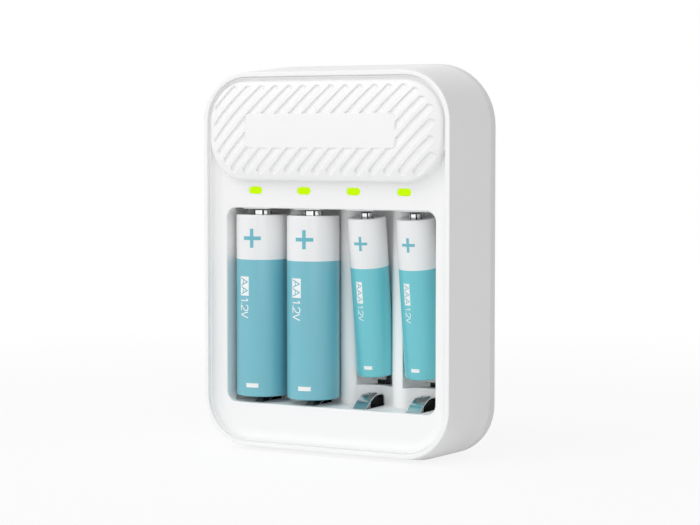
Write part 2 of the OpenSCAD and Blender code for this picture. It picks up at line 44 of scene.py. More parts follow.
# All lengths below are in mm: x to the right, d back from the rim's front, h up from the rim's lower edge
origin = {"d": -10.775, "h": 1.0}
unit = {"metres": 0.001, "mm": 1000}
bays = {"count": 4, "middle": 1.5}
mesher = {"merge": 3e-7, "sharp": math.radians(32), "nodeMerge": 2e-6, "plateMerge": 1e-6, "uv": 0.01}


def toFrame(x, d, h):
    # moves depth and height to the part's own frame and turns mm into metres
    x, d, h = np.broadcast_arrays(x, d, h)
    return np.stack([x, d + origin["d"], h + origin["h"]], axis=-1) * unit["metres"]


def gridFaces(rows, cols, wrapRows=False, wrapCols=False):
    # quads between neighbours of a grid, numbered row by row
    r = np.arange(rows if wrapRows else rows - 1)[:, None]
    c = np.arange(cols if wrapCols else cols - 1)[None, :]
    r2, c2 = (r + 1) % rows, (c + 1) % cols
    return np.stack(np.broadcast_arrays(r * cols + c, r * cols + c2, r2 * cols + c2, r2 * cols + c), -1)


def surface(points, wrapRows=False, wrapCols=False, paint=0, uv=None, keep=None):
    # a grid of points as one part of a piece; keep leaves quads out
    faces = gridFaces(points.shape[0], points.shape[1], wrapRows, wrapCols)
    faces = faces.reshape(-1, 4) if keep is None else faces[keep]
    return {"points": points.reshape(-1, 3), "faces": faces, "paint": paint,
            "uv": None if uv is None else uv.reshape(-1, 2)}


def plate(loops):
    # flat face inside the first loop, with the other loops as holes: a triangle stays where an odd
    # number of loop edges lies to one side of its middle
    points = np.concatenate(loops)
    flat = points[:, np.sort(np.argsort(np.ptp(points, axis=0))[1:])] * unit["mm"]
    edges, n = [], 0
    for loop in loops:
        here = np.arange(len(loop))
        edges.append(np.stack([here, np.roll(here, -1)], 1) + n)
        n += len(loop)
    edges = np.concatenate(edges)
    made = delaunay_2d_cdt([Vector(p) for p in flat.tolist()], edges.tolist(), [], 0, mesher["plateMerge"])
    tris = np.array([ids[0] for ids in made[3]])[np.array(made[2])]
    u, v = np.moveaxis(flat[tris].mean(1)[:, :, None], 1, 0)
    (u1, v1), (u2, v2) = flat[edges[:, 0]].T, flat[edges[:, 1]].T
    rise = np.where(v1 == v2, 1, v2 - v1)
    odd = (((v1 > v) != (v2 > v)) & (u < u1 + (u2 - u1) * (v - v1) / rise)).sum(1) % 2 == 1
    return {"points": points, "faces": tris[odd], "paint": 0, "uv": None}


def fan(loop, centre):
    # a loop joined to one middle point
    return surface(np.stack([loop, np.broadcast_to(centre, loop.shape)]), wrapCols=True)


def slab(top, bottom, paint=0):
    # two grids of the same size joined along their border
    border = [np.concatenate([g[0, :-1], g[:-1, -1], g[-1, :0:-1], g[:0:-1, 0]]) for g in (top, bottom)]
    return [surface(top, paint=paint), surface(bottom, paint=paint),
            surface(np.stack(border), wrapCols=True, paint=paint)]


def outline(half, low, high, rLow, rHigh, arc, run):
    # rounded rectangle, anticlockwise from its lower right corner: each corner is its centre plus
    # radius times (cos, sin), and straight runs lie between; every size may be one per ring
    half, low, high, rLow, rHigh = (np.asarray(v, float)[..., None] for v in (half, low, high, rLow, rHigh))
    turn = np.linspace(0, np.pi / 2, arc)
    corners = []
    for side, radius, middle, start in ((1, rLow, low + rLow, -np.pi / 2),
                                        (1, rHigh, high - rHigh, 0),
                                        (-1, rHigh, high - rHigh, np.pi / 2),
                                        (-1, rLow, low + rLow, np.pi)):
        corners.append((side * (half - radius) + radius * np.cos(start + turn),
                        middle + radius * np.sin(start + turn)))
    share = np.linspace(0, 1, run + 2)[1:-1]
    xs, hs = [], []
    for here, there in zip(corners, corners[1:] + corners[:1]):
        xs += [here[0], here[0][..., -1:] * (1 - share) + there[0][..., :1] * share]
        hs += [here[1], here[1][..., -1:] * (1 - share) + there[1][..., :1] * share]
    return np.concatenate(xs, -1), np.concatenate(hs, -1)


def addPiece(name, parts, materials, stands, body="charger"):
    # joins the parts, merges shared points, turns faces outwards and hangs the piece on its body
    counts = np.cumsum([0] + [len(p["points"]) for p in parts])
    faces = [face for p, n in zip(parts, counts) for face in (p["faces"] + n).tolist()]
    mesh = bpy.data.meshes.new(name)
    mesh.from_pydata(np.concatenate([p["points"] for p in parts]).tolist(), [], faces)
    paint = np.concatenate([np.full(len(p["faces"]), p["paint"]) for p in parts])
    mesh.polygons.foreach_set("material_index", paint)
    if any(p["uv"] is not None for p in parts):
        uv = np.concatenate([np.zeros((len(p["points"]), 2)) if p["uv"] is None else p["uv"]
                             for p in parts])
        corner = np.zeros(len(mesh.loops), np.int32)
        mesh.loops.foreach_get("vertex_index", corner)
        mesh.uv_layers.new(name="wrap").data.foreach_set("uv", uv[corner].ravel())
    work = bmesh.new()
    work.from_mesh(mesh)
    bmesh.ops.remove_doubles(work, verts=work.verts, dist=mesher["merge"])
    bmesh.ops.dissolve_degenerate(work, edges=work.edges, dist=mesher["merge"])
    bmesh.ops.recalc_face_normals(work, faces=work.faces)
    work.to_mesh(mesh)
    work.free()
    mesh.shade_smooth()
    mesh.set_sharp_from_angle(angle=mesher["sharp"])
    piece = bpy.data.objects.new(name, mesh)
    scene.collection.objects.link(piece)
    for material in materials:
        mesh.materials.append(material)
    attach(piece, body)
    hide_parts(*stands)


def dressNode(name, material, smooth=True):
    # a CAD node that stays: new material, smooth shading between its sharp edges
    node = nodes[name]
    node.data.materials.clear()
    node.data.materials.append(material)
    node.data.polygons.foreach_set("material_index", np.zeros(len(node.data.polygons), np.int32))
    if smooth:
        node.data.polygons.foreach_set("use_smooth", np.ones(len(node.data.polygons), bool))
        node.modifiers.new("join", "WELD").merge_threshold = mesher["nodeMerge"]
        node.modifiers.new("edges", "EDGE_SPLIT").split_angle = mesher["sharp"]


def linear(r, g, b):
    # screen colour 0 to 255 to scene colour
    c = np.array([r, g, b]) / 255
    return tuple(np.where(c <= 0.04045, c / 12.92, ((c + 0.055) / 1.055) ** 2.4)) + (1.0,)


def nodeMaker(owner):
    # short way to add a node, set its inputs and link it
    tree = owner.node_tree

    def add(kind, links=(), **values):
        node = tree.nodes.new(kind)
        for key, value in values.items():
            if key in node.inputs:
                node.inputs[key].default_value = value
            else:
                setattr(node, key, value)
        for socket, source in links:
            tree.links.new(source, node.inputs[socket])
        return node

    return tree, add


def newMaterial(name):
    # new material with its tree, its shader and a way to add nodes
    material = bpy.data.materials.new(name)
    material.use_nodes = True
    tree, add = nodeMaker(material)
    return material, tree, tree.nodes["Principled BSDF"], add


def blend(add, factor, first, second):
    # mix of two colours
    shade = add("ShaderNodeMix", [("Factor", factor)], data_type="RGBA")
    shade.inputs[6].default_value = first
    shade.inputs[7].default_value = second
    return shade.outputs[2]


def between(add, value, low, high):
    # 0 to 1 turned into low to high
    spread = add("ShaderNodeMapRange", [("Value", value)])
    spread.inputs["To Min"].default_value = low
    spread.inputs["To Max"].default_value = high
    return spread.outputs["Result"]


def darker(colour, share):
    # the colour times a share
    return tuple(c * share for c in colour[:3]) + (1.0,)


def finish(name, colour, rough, metal=0.0, tint=0.04, cloud=60.0, grain=2600.0, bump=0.05,
           stretch=(1, 1, 1), spread=0.06, depth=0.00004, leastRough=0.02):
    # base colour drifts a little with slow clouds, fine grain moves the gloss and the surface
    material, tree, shader, add = newMaterial(name)
    coords = add("ShaderNodeTexCoord").outputs["Object"]
    turned = add("ShaderNodeMapping", [("Vector", coords)], Scale=stretch).outputs["Vector"]
    drift = add("ShaderNodeTexNoise", [("Vector", coords)], Scale=cloud, Detail=3.0).outputs["Fac"]
    fine = add("ShaderNodeTexNoise", [("Vector", turned)], Scale=grain, Detail=2.0).outputs["Fac"]
    tree.links.new(blend(add, drift, colour, darker(colour, 1 - tint)), shader.inputs["Base Color"])
    gloss = between(add, fine, max(leastRough, rough - spread), rough + spread)
    tree.links.new(gloss, shader.inputs["Roughness"])
    relief = add("ShaderNodeBump", [("Height", fine)], Strength=bump, Distance=depth)
    tree.links.new(relief.outputs["Normal"], shader.inputs["Normal"])
    shader.inputs["Metallic"].default_value = metal
    return material


sleeve = {"white": linear(242, 243, 244), "aaInk": linear(119, 191, 206), "aaaInk": linear(112, 203, 213),
          "aaTop": 37.2, "aaaTop": 29.5, "streak": (60, 4, 1), "drift": 3.0, "fade": 0.95, "grain": 40.0,
          "smooth": 0.26, "rough": 0.34, "coat": 0.25, "coatRough": 0.12}


def sleeveFinish(name, colour, top):
    # printed sleeve: colour below the line at height top, white above, faint streaks along the cell
    material, tree, shader, add = newMaterial(name)
    wrap = add("ShaderNodeUVMap", uv_map="wrap").outputs["UV"]
    height = add("ShaderNodeSeparateXYZ", [("Vector", wrap)]).outputs["Y"]
    above = add("ShaderNodeMath", [(0, height)], operation="GREATER_THAN")
    above.inputs[1].default_value = top * mesher["uv"]
    streak = add("ShaderNodeMapping", [("Vector", wrap)], Scale=sleeve["streak"]).outputs["Vector"]
    clouds = add("ShaderNodeTexNoise", [("Vector", streak)], Scale=sleeve["drift"], Detail=3.0)
    drift = clouds.outputs["Fac"]
    low, high = (blend(add, drift, tone, darker(tone, sleeve["fade"]))
                 for tone in (colour, sleeve["white"]))
    both = add("ShaderNodeMix", [("Factor", above.outputs[0]), (6, low), (7, high)], data_type="RGBA")
    tree.links.new(both.outputs[2], shader.inputs["Base Color"])
    fine = add("ShaderNodeTexNoise", [("Vector", streak)], Scale=sleeve["grain"]).outputs["Fac"]
    tree.links.new(between(add, fine, sleeve["smooth"], sleeve["rough"]), shader.inputs["Roughness"])
    shader.inputs["Coat Weight"].default_value = sleeve["coat"]
    shader.inputs["Coat Roughness"].default_value = sleeve["coatRough"]
    return material


# painted reflection on the nubs: stripe count, angle of the bright stripe per cell size, the sine range of
# the change, gloss and the stripe colours
nubReflection = {"count": 6, "aaBright": 5, "aaaBright": 8, "from": -0.95, "to": -0.55, "rough": 0.14,
           "dark": linear(30, 30, 32), "light": linear(250, 250, 250)}


def nubFinish(name, radius, brightAt):
    # painted reflection: light and dark stripes up the nub, standing in for the studio reflected in the
    # metal, as a sine of the angle round it
    material, tree, shader, add = newMaterial(name)
    wrap = add("ShaderNodeUVMap", uv_map="wrap").outputs["UV"]
    across = add("ShaderNodeSeparateXYZ", [("Vector", wrap)]).outputs["X"]
    angle = add("ShaderNodeMath", [(0, across)], operation="MULTIPLY_ADD")
    angle.inputs[1].default_value = nubReflection["count"] / (radius * mesher["uv"])
    angle.inputs[2].default_value = math.radians(90 - nubReflection["count"] * brightAt)
    wave = add("ShaderNodeMath", [(0, angle.outputs[0])], operation="SINE").outputs[0]
    share = add("ShaderNodeMapRange", [("Value", wave)], interpolation_type="SMOOTHSTEP")
    share.inputs["From Min"].default_value = nubReflection["from"]
    share.inputs["From Max"].default_value = nubReflection["to"]
    shade = blend(add, share.outputs["Result"], nubReflection["dark"], nubReflection["light"])
    tree.links.new(shade, shader.inputs["Base Color"])
    shader.inputs["Metallic"].default_value = 1.0
    shader.inputs["Roughness"].default_value = nubReflection["rough"]
    return material


board = {"mask": linear(16, 92, 56), "track": linear(44, 138, 84), "cells": 420.0, "trackFrom": 0.55,
         "grain": 900.0, "smooth": 0.3, "rough": 0.45}


def boardFinish(name):
    # solder mask with a pattern of narrow paler tracks between square cells
    material, tree, shader, add = newMaterial(name)
    coords = add("ShaderNodeTexCoord").outputs["Object"]
    cells = add("ShaderNodeTexVoronoi", [("Vector", coords)], distance="MANHATTAN", Scale=board["cells"])
    track = add("ShaderNodeMath", [(0, cells.outputs["Distance"])], operation="GREATER_THAN")
    track.inputs[1].default_value = board["trackFrom"]
    tree.links.new(blend(add, track.outputs[0], board["mask"], board["track"]), shader.inputs["Base Color"])
    fine = add("ShaderNodeTexNoise", [("Vector", coords)], Scale=board["grain"]).outputs["Fac"]
    tree.links.new(between(add, fine, board["smooth"], board["rough"]), shader.inputs["Roughness"])
    return material


lampLight = {"low": linear(194, 235, 2), "high": linear(200, 241, 6), "body": linear(90, 130, 4),
             "grain": 1800.0, "strength": 0.9, "rough": 0.4, "shine": 0.05}


def lampFinish(name):
    # lime plastic lit from behind, a little brighter in each grain of the diffuser
    material, tree, shader, add = newMaterial(name)
    coords = add("ShaderNodeTexCoord").outputs["Object"]
    fine = add("ShaderNodeTexNoise", [("Vector", coords)], Scale=lampLight["grain"]).outputs["Fac"]
    tree.links.new(blend(add, fine, lampLight["low"], lampLight["high"]), shader.inputs["Emission Color"])
    shader.inputs["Base Color"].default_value = lampLight["body"]
    shader.inputs["Emission Strength"].default_value = lampLight["strength"]
    shader.inputs["Roughness"].default_value = lampLight["rough"]
    shader.inputs["Specular IOR Level"].default_value = lampLight["shine"]
    return material


whiteShell = finish("satin white shell", linear(251, 251, 251), 0.36, tint=0.012, bump=0.06)
whitePanel = finish("white dish panel", linear(250, 250, 250), 0.33, tint=0.012, bump=0.05)
whiteCover = finish("white ribbed cover", linear(250, 250, 250), 0.34, tint=0.012, bump=0.05)
whiteTray = finish("white tray", linear(252, 252, 252), 0.42, tint=0.012, bump=0.06)
backShell = finish("satin back cover", linear(240, 240, 240), 0.42, tint=0.015, bump=0.1)
chrome = finish("bright nickel", linear(226, 227, 228), 0.12, metal=1.0, tint=0.06, bump=0.02, spread=0.04)
springSteel = finish("nickel spring strip", linear(214, 216, 217), 0.16, metal=1.0, tint=0.1, grain=900.0,
                     stretch=(0.08, 1, 1), bump=0.05, spread=0.07)
# painted shade: near-black metal for the strips' lower skins, standing in for the shade under the bent
# strips
paintedShadeSteel = finish("strip painted dark for shade", linear(46, 50, 49), 0.3, metal=1.0, tint=0.3, cloud=700.0,
                     spread=0.1)
steelScrew = finish("zinc screw", linear(150, 152, 154), 0.35, metal=1.0, tint=0.2, cloud=900.0)
brassBus = finish("tinned brass strip", linear(206, 176, 108), 0.3, metal=1.0, tint=0.15, cloud=300.0)
canFinish = finish("aluminium can", linear(170, 175, 182), 0.3, metal=1.0, tint=0.1, stretch=(1, 0.05, 1))
darkPart = finish("moulded black package", linear(38, 38, 40), 0.5, tint=0.25, cloud=700.0, bump=0.15)
lampBody = finish("lamp package", linear(232, 222, 176), 0.4, tint=0.1, cloud=500.0)
washer = finish("insulating washer", linear(246, 246, 246), 0.5, tint=0.08, cloud=400.0)
inkTeal = finish("teal print", linear(110, 188, 204), 0.32, tint=0.05, cloud=400.0, bump=0.02)
inkWhite = finish("white print", linear(246, 247, 247), 0.32, tint=0.03, cloud=400.0, bump=0.02)
aaSleeve = sleeveFinish("large cell sleeve", sleeve["aaInk"], sleeve["aaTop"])
aaaSleeve = sleeveFinish("small cell sleeve", sleeve["aaaInk"], sleeve["aaaTop"])
limeLamp = lampFinish("lime lamp")
greenBoard = boardFinish("circuit board mask")
print("finishes made")

case = {"w": 74.4, "h": 100.9, "r": 13.4, "proud": 0.6, "edge": 0.22, "band": 1.25, "lip": 0.15,
        "fill": 0.12, "fillFrom": 0.36, "fillStep": 0.02, "flare": 1.85, "seam": 19.75, "seamHighR": 16.2,
        "drop": 1.0, "flat": 6.6, "fallRings": [1.65, 3.3, 4.95, 6.6, 9.9], "wall": 1.8, "deep": 24.45,
        "backEdge": 2.5, "backArc": 10, "backIn": 22.65, "backFlat": 0.5, "seamCut": 0.14, "seamStep": 0.16,
        "ledge": 2.55, "ledgeFrom": 4.4, "ledgeTo": 6.0, "innerRing": 7.0, "lipArc": 7, "arc": 14,
        "run": 24}


def caseRings(d, inset):
    # outline of the case at depth d, drawn in by inset: sides, top and upper corners grow in a straight
    # line with depth, and the base falls until it is flat
    d, inset = np.asarray(d, float), np.asarray(inset, float)
    grow = case["flare"] * d / case["seam"]
    fall = case["drop"] * np.minimum(1, d / case["flat"])
    rHigh = case["r"] + (case["seamHighR"] - case["r"]) * d / case["seam"]
    x, h = outline(case["w"] / 2 + grow - inset, inset - fall, case["h"] + grow - inset,
                   case["r"] - inset + 0 * d, rHigh - inset, case["arc"], case["run"])
    return toFrame(x, d[:, None], h)


def openRings(d, inset, run=case["run"]):
    # outline of the front opening, the rim's own outline drawn in by inset at every depth
    d, inset = np.asarray(d, float), np.asarray(inset, float)
    x, h = outline(case["w"] / 2 - inset, inset, case["h"] - inset, case["r"] - inset, case["r"] - inset,
                   case["arc"], run)
    return toFrame(x, d[:, None], h)


quarter = np.linspace(0, np.pi / 2, case["lipArc"])
inlet = {"d": 15.83, "h": 80.25, "halfW": 4.62, "halfT": 1.78, "r": 1.77, "from": 13.2, "to": 18.5,
         "runs": 4, "arc": 8}


def inletLoop(inset):
    # round-ended hole on the left wall, whose plane lies at half the width plus the flare
    d, h = outline(inlet["halfT"], inlet["h"] - inlet["halfW"], inlet["h"] + inlet["halfW"],
                   inlet["r"], inlet["r"], inlet["arc"], inlet["runs"])
    d = d + inlet["d"]
    return toFrame(inset - case["w"] / 2 - case["flare"] * d / case["seam"], d, h)


def makeShell():
    # one closed ring of outlines: opening, rim, outer wall, seam, inner wall and ledge
    lip, edge, proud, fill = case["lip"], case["edge"], case["proud"], case["fillFrom"]
    mouthDeep = [[case["ledgeFrom"], fill + case["fillStep"], fill], lip - proud - lip * np.sin(quarter)]
    band = case["band"]
    mouthIn = [[band + case["fill"]] * 2, [band], band - lip * (1 - np.cos(quarter))]
    mouth = openRings(np.concatenate(mouthDeep), np.concatenate(mouthIn))
    turn = quarter[::-1]
    rim = caseRings(np.append(edge - proud - edge * np.sin(turn), 0),
                    np.append(edge * (1 - np.cos(turn)), 0))
    seam = case["seam"]
    outerDeep = case["fallRings"] + [inlet["from"], inlet["to"], seam - case["seamStep"], seam]
    outer = caseRings(outerDeep, [0] * (len(outerDeep) - 1) + [case["seamCut"]])
    innerDeep = [seam, inlet["to"], inlet["from"], case["innerRing"], case["ledgeTo"]]
    inner = caseRings(innerDeep, [case["wall"]] * len(innerDeep))
    ledge = openRings([case["ledgeTo"], case["ledgeFrom"]], [case["ledge"]] * 2)
    rings = np.concatenate([mouth, rim, outer, inner, ledge])
    # the inlet's window is left out of both walls and closed by plates with a hole
    keep = np.ones(rings.shape[:2], bool)
    first = 3 * case["arc"] + 2 * case["run"] - 1
    window = slice(first, first + inlet["runs"])
    columns = slice(first, first + inlet["runs"] + 1)
    outAt = len(mouth) + len(rim) + len(case["fallRings"])
    inAt = len(mouth) + len(rim) + len(outer) + 1
    parts = []
    for at, inset in ((outAt, 0.0), (inAt, case["wall"])):
        keep[at, window] = False
        border = np.concatenate([rings[at, columns], rings[at + 1, columns][::-1]])
        parts.append(plate([border, inletLoop(inset)]))
    tube = np.stack([inletLoop(0.0), inletLoop(case["wall"])])
    parts += [surface(tube, wrapCols=True), surface(rings, True, True, keep=keep)]
    addPiece("case_shell", parts, [whiteShell], stands=["main_shell"])


screws = {"x": 28.5, "low": 9.3, "high": 90.81, "wellR": 2.35, "holeR": 1.15, "bossR": 3.25, "seat": 22.15,
          "lowEnd": 21.15, "highEnd": 18.85, "rimCut": 0.2, "sides": 48}


def circle(x, h, radius, d):
    # rings round a screw's axis, one per radius and depth
    turn = np.linspace(0, 2 * np.pi, screws["sides"], endpoint=False)
    radius, d = np.asarray(radius, float)[..., None], np.asarray(d, float)[..., None]
    return toFrame(x + radius * np.cos(turn), d, h + radius * np.sin(turn))


def makeBack():
    # tray-shaped cover: inner wall, seam, outer wall, round edge and flat back, with four screw wells
    edge, deep, seam = case["backEdge"], case["deep"], case["seam"]
    turn = np.linspace(0, np.pi / 2, case["backArc"])
    d = np.concatenate([[case["backIn"], seam, seam, seam + case["seamStep"]],
                        deep - edge + edge * np.sin(turn), [deep]])
    inset = np.concatenate([[case["wall"]] * 2, [case["seamCut"], 0], edge * (1 - np.cos(turn)),
                            [edge + case["backFlat"]]])
    inset = inset + case["flare"] * np.maximum(0, d - deep + edge) / seam
    inset[0] = case["wall"]
    rings = caseRings(d, inset)
    parts = [surface(rings, wrapCols=True)]
    outside, inside = [rings[-1]], [rings[0]]
    cut, well, hole, boss = screws["rimCut"], screws["wellR"], screws["holeR"], screws["bossR"]
    for side in (-1, 1):
        for h, end in ((screws["low"], screws["lowEnd"]), (screws["high"], screws["highEnd"])):
            rounds = circle(side * screws["x"], h, [well + cut, well, well, hole, hole, boss, boss],
                            [deep, deep - cut, screws["seat"], screws["seat"], end, end, case["backIn"]])
            parts.append(surface(rounds, wrapCols=True))
            outside.append(rounds[0])
            inside.append(rounds[-1])
    parts += [plate(outside), plate(inside)]
    addPiece("back_tray", parts, [backShell], stands=["back_cover"])


panel = {"d": 2.4, "back": 4.4, "gap": 0.15, "top": 0.3, "edge": 0.12, "cove": 3.5, "coveArc": 12,
         "foot": 0.4, "bayHalf": 31.7, "bayLow": 11.6, "bayTop": 64.45, "bayR": 2.8, "bayEdge": 0.4,
         "bayArc": 10, "lampPitch": 15.05, "lampH": 69.25, "lampW": 4.0, "lampTall": 1.85, "lampR": 0.9,
         "lampGap": 0.075, "lampCut": 0.1, "lampArc": 8}


def bayRings(grow, d):
    # outline of the bays' opening, set out by grow
    grow, d = np.asarray(grow, float), np.asarray(d, float)
    x, h = outline(panel["bayHalf"] + grow, panel["bayLow"] - grow, panel["bayTop"] + grow,
                   panel["bayR"] + grow, panel["bayR"] + grow, panel["bayArc"], 0)
    return toFrame(x, d[:, None], h)


def lampRings(i, grow, d):
    # outline of one lamp window, set out by grow
    grow, d = np.asarray(grow, float), np.asarray(d, float)
    middle = (i - bays["middle"]) * panel["lampPitch"]
    tall, radius = panel["lampTall"] / 2 + grow, panel["lampR"] + grow
    x, h = outline(panel["lampW"] / 2 + grow, panel["lampH"] - tall, panel["lampH"] + tall, radius, radius,
                   panel["lampArc"], 0)
    return toFrame(x + middle, d[:, None], h)


def makePanel():
    # dish: a quarter ellipse sweeps from the edge down to the flat, with holes for the bays and lamps
    turn = np.linspace(0, np.pi / 2, panel["coveArc"])[1:]
    top, reach = panel["top"], panel["cove"] - panel["foot"]
    inset = np.concatenate([[0, 0, panel["edge"], panel["foot"]], panel["cove"] - reach * np.cos(turn)])
    d = np.concatenate([[panel["back"], top + panel["edge"], top, top],
                        top + (panel["d"] - top) * np.sin(turn)])
    dish = openRings(d, case["band"] + panel["gap"] + inset, 0)
    edge = panel["bayEdge"]
    mouth = bayRings(np.append(edge * (1 - np.sin(quarter)), 0),
                     np.append(panel["d"] + edge * (1 - np.cos(quarter)), panel["back"]))
    parts = [surface(dish, wrapCols=True), surface(mouth, wrapCols=True)]
    front, back = [dish[-1], mouth[0]], [dish[0], mouth[-1]]
    gap, cut = panel["lampGap"], panel["lampCut"]
    for i in range(bays["count"]):
        hole = lampRings(i, [gap + cut, gap, gap], [panel["d"], panel["d"] + cut, panel["back"]])
        parts.append(surface(hole, wrapCols=True))
        front.append(hole[0])
        back.append(hole[-1])
    parts += [plate(front), plate(back)]
    addPiece("dish_panel", parts, [whitePanel], stands=["front_panel"])


cover = {"half": 35.0, "low": 71.85, "high": 98.45, "rLow": 11.0, "rHigh": 11.0, "proud": 2.9, "crown": 2.4,
         "edge": 0.65, "edgeArc": 9, "foot": 2.4, "gap": 1.1, "gapTop": 1.35, "flange": 0.7,
         "flangeEnd": 0.35, "middle": 85.675, "pitch": 3.018, "phase": 0.85, "width": 2.2, "land": 0.2,
         "shortest": 1.0, "deep": 0.75, "shallow": 0.12, "grooveHalf": 33.0, "grooveLow": 11.8,
         "grooveHigh": 11.3, "grooveR": 5.8, "plateW": 45.2, "plateTall": 8.9, "plateDrop": 0.43,
         "plateR": 1.2, "ramp": 0.14, "endRamp": 0.42, "plateRamp": 0.3, "rowStep": 0.15, "rowsFrom": 2.0,
         "endBand": 2.2, "endRows": 26, "digits": 4, "spare": 2,
         "across": [-1.1, -0.96, -0.8, -0.6, -0.4, -0.2, 0, 0.2, 0.4, 0.6, 0.8, 0.96, 1.1, 1.4, 1.7]}


def boxDistance(x, z, half, tall, radius):
    # distance to a rounded rectangle about the origin, negative inside
    qx = np.abs(x) - half + radius
    qz = np.abs(z) - tall + radius
    return np.minimum(np.maximum(qx, qz), 0) + np.hypot(np.maximum(qx, 0), np.maximum(qz, 0)) - radius


def coverFace(x, z):
    # pillow: the depth rises with the cube of the distance from the middle line to the outline
    tall = (cover["high"] - cover["low"]) / 2
    inset = -boxDistance(x, z, cover["half"], tall, np.where(z > 0, cover["rHigh"], cover["rLow"]))
    return cover["crown"] * (1 - np.clip(inset / tall, 0, 1)) ** 3 - cover["proud"]


def grooveDepth(x, z):
    # slanted grooves: t runs across a groove and s along it; the floor follows the pillow, deep at the
    # steep side and shallow at the other, the ends are round and a narrow ramp makes the walls
    step = cover["pitch"] * math.sqrt(2)
    k = np.floor((x - z - cover["phase"]) / step + (cover["width"] / 2 + cover["land"]) / cover["pitch"])
    o = k * step + cover["phase"]
    low, high, w, m = cover["grooveLow"], cover["grooveHigh"], cover["grooveHalf"], cover["grooveR"]
    lo = np.maximum(np.maximum(-low, -w - o), (-w - low - o + m) / 2)
    hi = np.minimum(np.minimum(high, w - o), (w + high - o - m) / 2)
    length = (hi - lo) * math.sqrt(2) - cover["width"]
    t = (x - z - o) / math.sqrt(2)
    s = (x + z - o - lo - hi) / math.sqrt(2)
    past = np.maximum(np.abs(s) - length / 2, 0)
    border = np.hypot(past, t) - cover["width"] / 2
    ramp = cover["ramp"] + (cover["endRamp"] - cover["ramp"]) * np.clip(2 * past / cover["width"], 0, 1)
    plateZ = z + cover["plateDrop"]
    around = boxDistance(x, plateZ, cover["plateW"] / 2, cover["plateTall"] / 2, cover["plateR"])
    share = np.clip(-border / ramp, 0, 1) * np.clip(around / cover["plateRamp"], 0, 1)
    tilt = np.clip(0.5 + t / cover["width"], 0, 1)
    depth = cover["deep"] + (cover["shallow"] - cover["deep"]) * tilt
    return share * depth * (length > cover["shortest"])


def makeCover():
    # pillow-like cover: rows of height, columns slanted with the grooves and held at the outline,
    # then rings that carry the border round the edge, down to a low flange and on to the panel
    middle = (cover["high"] + cover["low"]) / 2
    lower = middle - cover["middle"]
    inner = cover["edge"]
    full = (cover["high"] - cover["low"]) / 2
    tall = full - inner
    closing = cover["endBand"] * (1 - np.cos(np.linspace(0, np.pi / 2, cover["endRows"])))
    even = np.arange(cover["rowsFrom"] - tall, tall - cover["rowsFrom"], cover["rowStep"])
    plateRows = [s * (cover["plateTall"] / 2 + e) - lower - cover["plateDrop"]
                 for s in (-1, 1) for e in (0, cover["plateRamp"])]
    rows = np.concatenate([even, closing - tall, tall - closing, plateRows])
    z = np.unique(np.round(rows, cover["digits"]))[:, None]
    across = np.array(cover["across"])
    count = int((cover["half"] + tall) * math.sqrt(0.5) / cover["pitch"]) + cover["spare"]
    a = (np.arange(-count, count + 1)[:, None] * cover["pitch"] + across[None, :]).ravel() * math.sqrt(2)
    radius = np.where(z > 0, cover["rHigh"], cover["rLow"]) - inner
    up = np.clip(np.abs(z) - (tall - radius), 0, radius)
    side = cover["half"] - inner - radius + np.sqrt(np.maximum(radius ** 2 - up ** 2, 0))
    x = np.clip(a[None, :] + cover["phase"] + z + lower, -side, side)
    z = np.broadcast_to(z, x.shape)
    d = coverFace(x, z) + grooveDepth(x, z + lower)
    parts = [surface(toFrame(x, d, z + middle))]
    # border loop with its outward direction, from the outline's corner centres
    bx, bz, bd = (np.concatenate([g[0], g[:, -1], g[-1, ::-1], g[::-1, 0]]) for g in (x, z, d))
    r = np.where(bz > 0, cover["rHigh"], cover["rLow"])
    cx = np.sign(bx) * np.minimum(np.abs(bx), cover["half"] - r)
    cz = np.clip(bz, cover["rLow"] - full, full - cover["rHigh"])
    long = np.hypot(bx - cx, bz - cz)
    nx, nz = (bx - cx) / long, (bz - cz) / long
    # the edge is an arc that starts at the pillow's own slope and ends square to the panel
    slope = math.atan(3 * cover["crown"] / full * (1 - inner / full) ** 2)
    bend = inner / (1 - math.sin(slope))
    turn = np.linspace(slope, np.pi / 2, cover["edgeArc"])[1:, None]
    top = cover["crown"] * (1 - inner / full) ** 3 - cover["proud"]
    arcOut = bend * (np.sin(turn) - math.sin(slope))
    arcDeep = top + bend * (math.cos(slope) - np.cos(turn))
    # the flange fills the gap to the rim and ends where the lower corners turn in
    width = cover["gap"] * nx ** 2 + cover["gapTop"] * nz ** 2
    reach = inner + width * np.clip(1 + nz / cover["flangeEnd"], 0, 1)
    out = np.concatenate([0 * bd[None], arcOut + 0 * bd, [0 * bd + inner, reach, reach]])
    deep = np.concatenate([[bd], arcDeep + 0 * bd, [0 * bd + cover["flange"]] * 2,
                           [0 * bd + cover["foot"]]])
    rings = toFrame(bx + nx * out, deep, bz + nz * out + middle)
    parts += [surface(rings, wrapCols=True), fan(rings[-1], toFrame(0, cover["foot"], middle))]
    addPiece("ribbed_pad", parts, [whiteCover], stands=["ribbed_cover"])


makeShell()
makeBack()
makePanel()
makeCover()
print("case, back, panel and ribbed cover made")

lamps = {"sink": 0.45, "dome": 0.06, "end": 12.05, "rings": 9}


def makeLamp(i):
    # rounded window: rings shrink to the middle while the face swells with the square of the way in
    rim = lampRings(i, [0.0], [0.0])[0]
    middle = rim.mean(0)
    share = np.linspace(1, 0, lamps["rings"])[:, None, None]
    face = np.concatenate([rim[None], middle + (rim - middle) * share])
    d = panel["d"] + lamps["sink"] - lamps["dome"] * (1 - np.concatenate([[[[1]]], share]) ** 2)
    face[..., 1] = (d[..., 0] + origin["d"]) * unit["metres"]
    face[0, :, 1] = (lamps["end"] + origin["d"]) * unit["metres"]
    back = rim.copy()
    back[:, 1] = face[0, :, 1]
    parts = [surface(face, wrapCols=True), fan(back, back.mean(0))]
    addPiece(f"lamp_lens_{i + 1}", parts, [limeLamp], stands=[f"light_pipe_{i + 1}"])


for i in range(bays["count"]):
    makeLamp(i)
print("lamps made")

